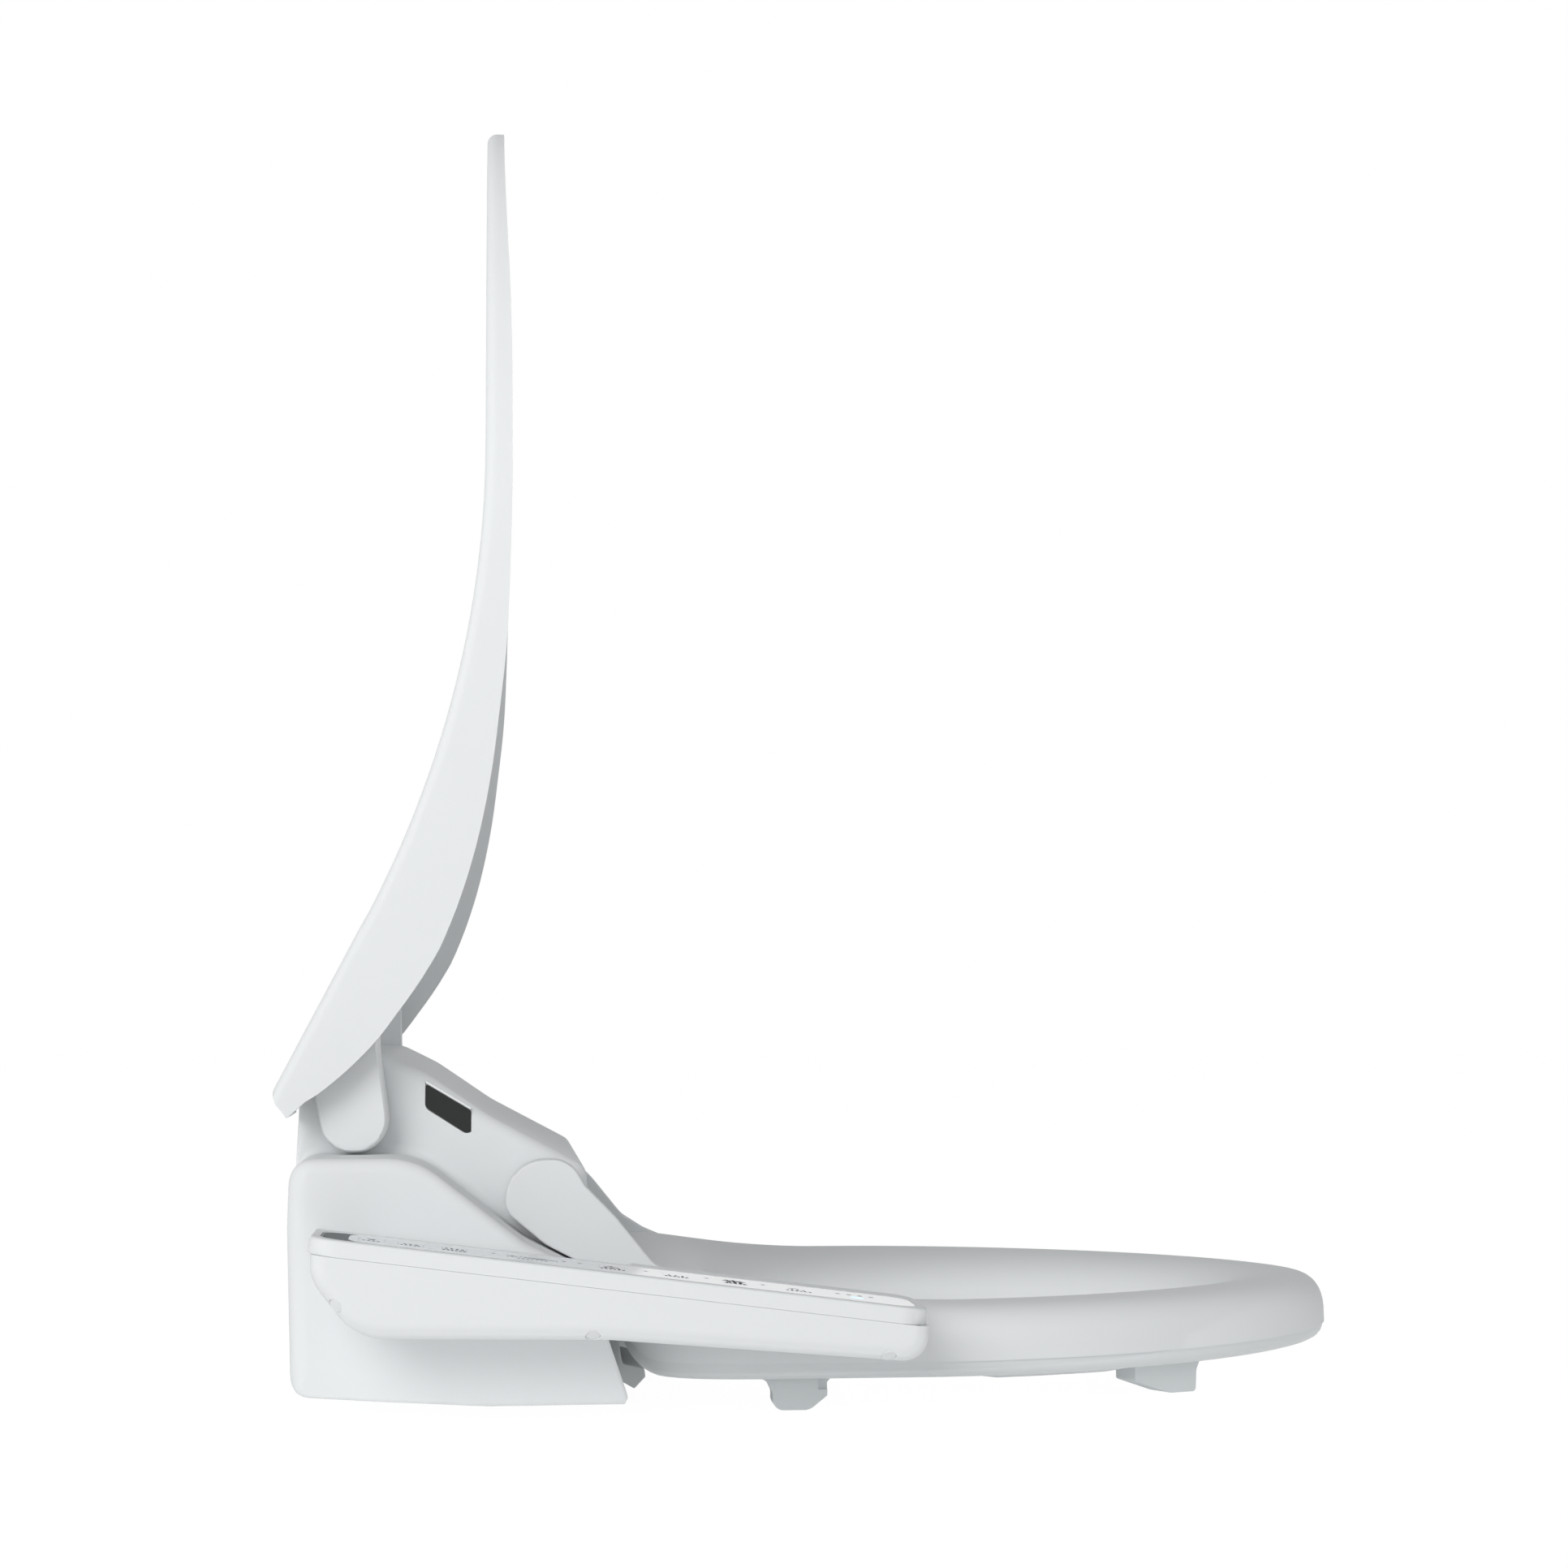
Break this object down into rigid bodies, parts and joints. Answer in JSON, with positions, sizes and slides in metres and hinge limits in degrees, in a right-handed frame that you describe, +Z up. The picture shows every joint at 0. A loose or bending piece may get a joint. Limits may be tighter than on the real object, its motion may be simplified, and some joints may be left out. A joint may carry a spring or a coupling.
{
  "type": "electric bidet seat",
  "caption": "Electric bidet toilet seat with raised lid, open seat ring, rear water and air unit, side control arm with keys and extending wash nozzles.",
  "frame": {"origin": "middle between the two seat bolts, on the mounting plate's underside, which lies on the bowl's rim", "axes": "+Z up, -Y to the front of the seat, -X to the side with the control arm; stored with the lid open and the seat down"},
  "size_m": [0.4841, 0.549, 0.651],
  "materials": {
    "white_gloss": "moulded, high gloss",
    "white_satin": "moulded, satin",
    "overlay_white": "printed film, light gloss",
    "grey_plastic": "moulded, satin",
    "dark_lens": "smoked, high gloss",
    "grey_rubber": "moulded rubber",
    "black_plastic": "moulded, satin",
    "steel": "bright steel",
    "brass": "plain",
    "board_green": "circuit board",
    "heater_foil": "film on foil",
    "tank_plastic": "translucent moulding"
  },
  "bodies": {
    "casing": {"casing_upper": "white_gloss", "base_tray": "white_satin", "mounting_plate": "grey_plastic", "base_pad_right": "grey_rubber", "base_pad_left": "grey_rubber", "nozzle_bay": "white_satin", "sensor_window": "dark_lens", "control_arm_case": "white_gloss", "control_arm_bezel": "white_gloss", "control_overlay": "overlay_white", "status_lens": "dark_lens", "control_board": "board_green", "screw_plug_rear": "white_gloss", "screw_plug_middle": "white_gloss", "screw_plug_front": "white_gloss", "lid_damper": "black_plastic", "seat_damper": "black_plastic", "nozzle_guide": "grey_plastic", "wash_motor": "steel", "bidet_motor": "steel", "dryer_scroll": "black_plastic", "dryer_motor": "steel", "water_tank": "tank_plastic", "tank_heater": "steel", "inlet_valve": "black_plastic", "water_inlet": "brass", "flow_valve": "black_plastic", "main_board": "board_green", "power_module": "black_plastic", "power_gland": "black_plastic"},
    "lid": {"lid_shell": "white_gloss", "lid_shaft_right": "steel", "lid_shaft_left": "steel", "lid_bumper_right": "grey_rubber", "lid_bumper_left": "grey_rubber"},
    "seat": {"seat_top_shell": "white_gloss", "seat_bottom_shell": "white_satin", "seat_heater": "heater_foil", "seat_foot_side_right": "grey_rubber", "seat_foot_side_left": "grey_rubber", "seat_foot_front_right": "grey_rubber", "seat_foot_front_left": "grey_rubber", "seat_shaft_right": "steel", "seat_shaft_left": "steel"},
    "wash_nozzle_body": {"wash_nozzle": "white_satin"},
    "bidet_nozzle_body": {"bidet_nozzle": "white_satin"},
    "wash_pinion_body": {"wash_pinion": "grey_plastic"},
    "bidet_pinion_body": {"bidet_pinion": "grey_plastic"},
    "dryer_flap_body": {"dryer_flap": "white_satin"},
    "dryer_impeller_body": {"dryer_impeller": "grey_plastic"},
    "deodorizer_cartridge_body": {"deodorizer_cartridge": "white_satin"},
    "release_button_body": {"release_button": "grey_plastic"},
    "key_stop_body": {"key_stop": "overlay_white"},
    "key_rear_wash_body": {"key_rear_wash": "overlay_white"},
    "key_front_wash_body": {"key_front_wash": "overlay_white"},
    "key_pressure_body": {"key_pressure": "overlay_white"},
    "key_dry_body": {"key_dry": "overlay_white"},
    "key_seat_heat_body": {"key_seat_heat": "overlay_white"},
    "key_water_heat_body": {"key_water_heat": "overlay_white"}
  },
  "joints": [
    {"name": "lid_hinge", "type": "hinge", "parent": "casing", "child": "lid", "pos_m": [0, 0.036, 0.137], "axis": [1, 0, 0], "range_deg": [0, 92]},
    {"name": "seat_hinge", "type": "hinge", "parent": "casing", "child": "seat", "pos_m": [0, -0.054, 0.097], "axis": [1, 0, 0], "range_deg": [-97, 0]},
    {"name": "wash_slide", "type": "slide", "parent": "casing", "child": "wash_nozzle_body", "axis": [0, -0.8829, -0.4695], "range_m": [0, 0.105]},
    {"name": "wash_pinion_spin", "type": "hinge", "parent": "casing", "child": "wash_pinion_body", "pos_m": [-0.011, -0.04076, 0.022], "axis": [1, 0, 0], "range_deg": [0, 752.1]},
    {"name": "bidet_slide", "type": "slide", "parent": "casing", "child": "bidet_nozzle_body", "axis": [0, -0.8829, -0.4695], "range_m": [0, 0.105]},
    {"name": "bidet_pinion_spin", "type": "hinge", "parent": "casing", "child": "bidet_pinion_body", "pos_m": [0.011, -0.04076, 0.022], "axis": [1, 0, 0], "range_deg": [0, 752.1]},
    {"name": "dryer_flap_hinge", "type": "hinge", "parent": "casing", "child": "dryer_flap_body", "pos_m": [0.077, -0.1034, 0.0096], "axis": [-1, 0, 0], "range_deg": [0, 50], "stiffness_Nm_per_rad": 0.0005, "springref_deg": -17.19},
    {"name": "dryer_impeller_spin", "type": "hinge", "parent": "casing", "child": "dryer_impeller_body", "pos_m": [0.077, 0, 0.076], "axis": [1, 0, 0], "continuous": true},
    {"name": "deodorizer_slide", "type": "slide", "parent": "casing", "child": "deodorizer_cartridge_body", "axis": [1, 0, 0], "range_m": [0, 0.045]},
    {"name": "release_press", "type": "slide", "parent": "casing", "child": "release_button_body", "axis": [1, 0, 0], "range_m": [-0.004, 0], "stiffness_N_per_m": 400, "springref_m": 0.001},
    {"name": "key_stop_press", "type": "slide", "parent": "casing", "child": "key_stop_body", "axis": [0, -0.1236, 0.9923], "range_m": [-0.0008, 0], "stiffness_N_per_m": 1500, "springref_m": 0.0002},
    {"name": "key_rear_wash_press", "type": "slide", "parent": "casing", "child": "key_rear_wash_body", "axis": [0, -0.1236, 0.9923], "range_m": [-0.0008, 0], "stiffness_N_per_m": 1500, "springref_m": 0.0002},
    {"name": "key_front_wash_press", "type": "slide", "parent": "casing", "child": "key_front_wash_body", "axis": [0, -0.1236, 0.9923], "range_m": [-0.0008, 0], "stiffness_N_per_m": 1500, "springref_m": 0.0002},
    {"name": "key_pressure_press", "type": "slide", "parent": "casing", "child": "key_pressure_body", "axis": [0, -0.1236, 0.9923], "range_m": [-0.0008, 0], "stiffness_N_per_m": 1500, "springref_m": 0.0002},
    {"name": "key_dry_press", "type": "slide", "parent": "casing", "child": "key_dry_body", "axis": [0, -0.1236, 0.9923], "range_m": [-0.0008, 0], "stiffness_N_per_m": 1500, "springref_m": 0.0002},
    {"name": "key_seat_heat_press", "type": "slide", "parent": "casing", "child": "key_seat_heat_body", "axis": [0, -0.1236, 0.9923], "range_m": [-0.0008, 0], "stiffness_N_per_m": 1500, "springref_m": 0.0002},
    {"name": "key_water_heat_press", "type": "slide", "parent": "casing", "child": "key_water_heat_body", "axis": [0, -0.1236, 0.9923], "range_m": [-0.0008, 0], "stiffness_N_per_m": 1500, "springref_m": 0.0002}
  ],
  "couplings": [
    {"joint": "wash_pinion_spin", "follows": "wash_slide", "rad_per_m": 125},
    {"joint": "bidet_pinion_spin", "follows": "bidet_slide", "rad_per_m": 125}
  ]
}
